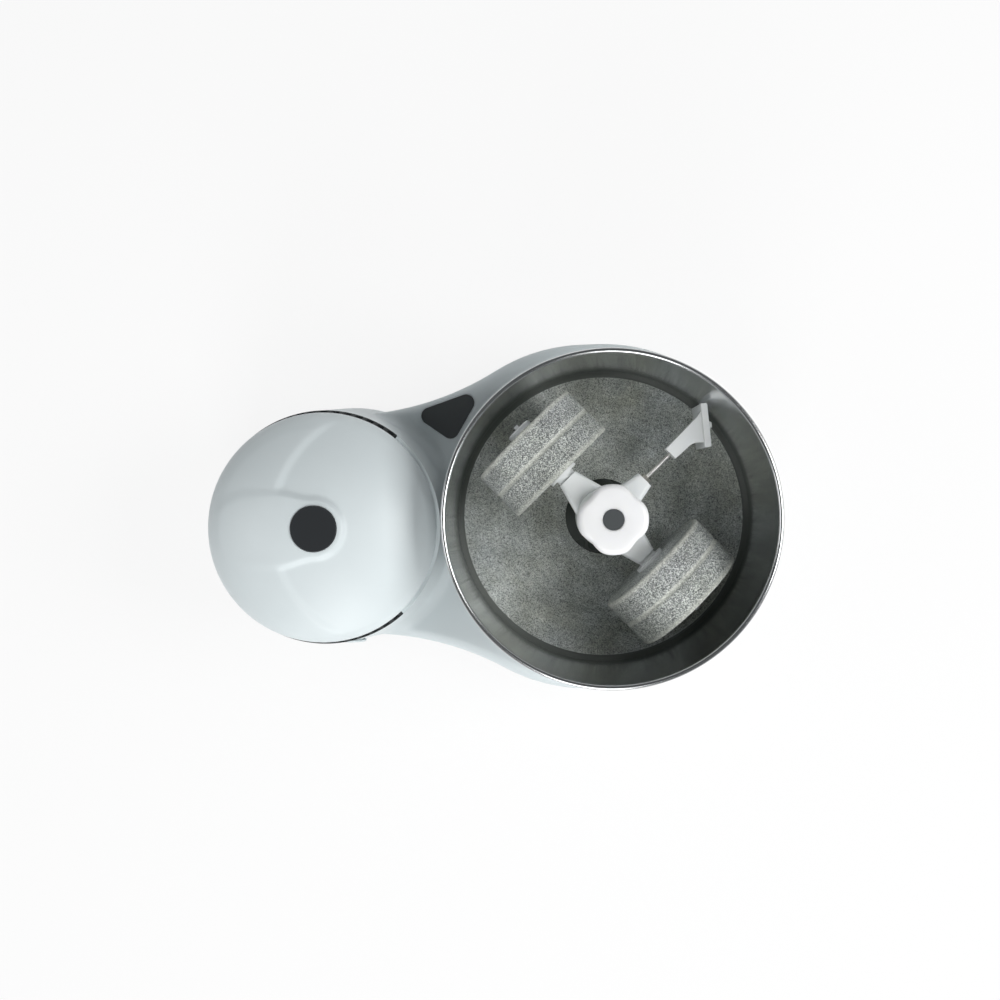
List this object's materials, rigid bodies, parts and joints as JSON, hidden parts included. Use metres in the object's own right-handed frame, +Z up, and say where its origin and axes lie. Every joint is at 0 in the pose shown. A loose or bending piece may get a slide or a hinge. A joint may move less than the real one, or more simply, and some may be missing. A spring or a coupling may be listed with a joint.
{
  "type": "tabletop wet grinder",
  "caption": "Tabletop wet grinder: a steel drum with a stone floor turns under stone rollers on a fixed hub, driven by belt from a motor in the domed tower beside it.",
  "frame": {"origin": "centre of the plan bounding box on the surface the feet stand on", "axes": "+Z up; +X from the drum toward the motor tower; -Y toward the user, the side with the press pad"},
  "size_m": [0.487, 0.3, 0.2493],
  "materials": {
    "shell_white": "glossy",
    "tray_grey": "matte",
    "foot_rubber": "matte",
    "dark_plastic": "satin",
    "pad_black": "glossy",
    "belt_rubber": "matte",
    "fastener_zinc": "satin",
    "shaft_steel": "satin",
    "cast_alloy": "satin",
    "lamination": "matte",
    "copper_wire": "satin",
    "drum_steel": "polished",
    "granite": "honed",
    "white_nylon": "satin"
  },
  "bodies": {
    "base": {"housing": "shell_white", "base_tray": "tray_grey", "rubber_feet": "foot_rubber", "tray_screws": "fastener_zinc", "motor_cap": "shell_white", "cap_badge": "pad_black", "vent_ring": "dark_plastic", "switch_body": "dark_plastic", "switch_bracket": "tray_grey", "drive_post": "cast_alloy", "drive_bearings": "shaft_steel", "splash_seal": "foot_rubber", "drive_belt": "belt_rubber", "motor_frame_lower": "cast_alloy", "motor_frame_upper": "cast_alloy", "motor_bearings": "shaft_steel", "motor_bolts": "fastener_zinc", "motor_mounts": "shaft_steel", "stator_core": "lamination", "stator_windings": "copper_wire", "capacitor": "cast_alloy", "capacitor_cup": "tray_grey", "cord_gland": "dark_plastic"},
    "drive": {"drum_pulley": "cast_alloy", "drive_coupler": "cast_alloy"},
    "rotor": {"rotor_core": "lamination", "motor_shaft": "shaft_steel", "motor_pulley": "cast_alloy", "cooling_fan": "dark_plastic"},
    "shaft": {"centre_shaft": "shaft_steel", "shaft_clip": "fastener_zinc"},
    "drum": {"drum_shell": "drum_steel", "stone_base": "granite", "seal_ring": "foot_rubber", "drum_boss": "dark_plastic", "shaft_bushes": "white_nylon", "drive_lugs": "drum_steel"},
    "roller_set": {"roller_carrier": "white_nylon", "roller_axles": "shaft_steel", "axle_caps": "white_nylon", "locknut": "fastener_zinc"},
    "roller_a": {"roller_stone_a": "granite", "roller_bush_a": "white_nylon"},
    "roller_b": {"roller_stone_b": "granite", "roller_bush_b": "white_nylon"},
    "knob": {"lock_knob": "white_nylon", "knob_disc": "pad_black"},
    "scraper": {"scraper_rod": "shaft_steel", "scraper_holder": "white_nylon", "scraper_blade": "white_nylon"},
    "button": {"press_button": "pad_black"}
  },
  "joints": [
    {"name": "drum_lift", "type": "slide", "parent": "base", "child": "shaft", "axis": [0, 0, 1], "range_m": [0, 0.17]},
    {"name": "drum_spin", "type": "hinge", "parent": "shaft", "child": "drum", "pos_m": [-0.0935, 0, 0.1], "axis": [0, 0, 1], "continuous": true},
    {"name": "drive_spin", "type": "hinge", "parent": "base", "child": "drive", "pos_m": [-0.0935, 0, 0.04], "axis": [0, 0, 1], "continuous": true},
    {"name": "motor_spin", "type": "hinge", "parent": "base", "child": "rotor", "pos_m": [0.135, 0, 0.1], "axis": [0, 0, 1], "continuous": true},
    {"name": "roller_set_lift", "type": "slide", "parent": "shaft", "child": "roller_set", "axis": [0, 0, 1], "range_m": [0, 0.15]},
    {"name": "roller_a_spin", "type": "hinge", "parent": "roller_set", "child": "roller_a", "pos_m": [-0.0935, 0, 0.15535], "axis": [0.682, -0.7314, 0], "continuous": true},
    {"name": "roller_b_spin", "type": "hinge", "parent": "roller_set", "child": "roller_b", "pos_m": [-0.0935, 0, 0.15535], "axis": [-0.682, 0.7314, 0], "continuous": true},
    {"name": "knob_turn", "type": "hinge", "parent": "roller_set", "child": "knob", "pos_m": [-0.0935, 0, 0.23], "axis": [0, 0, 1], "range_deg": [0, 90]},
    {"name": "scraper_reach", "type": "slide", "parent": "roller_set", "child": "scraper", "axis": [-0.7314, -0.682, 0], "range_m": [-0.012, 0]},
    {"name": "button_press", "type": "slide", "parent": "base", "child": "button", "axis": [0, 0, -1], "range_m": [0, 0.003], "stiffness_N_per_m": 400, "springref_m": -0.003}
  ],
  "couplings": [
    {"joint": "drive_spin", "follows": "drum_spin", "ratio": 1},
    {"joint": "motor_spin", "follows": "drum_spin", "ratio": 5.5426},
    {"joint": "roller_a_spin", "follows": "drum_spin", "ratio": 1.46},
    {"joint": "roller_b_spin", "follows": "drum_spin", "ratio": 1.46}
  ]
}
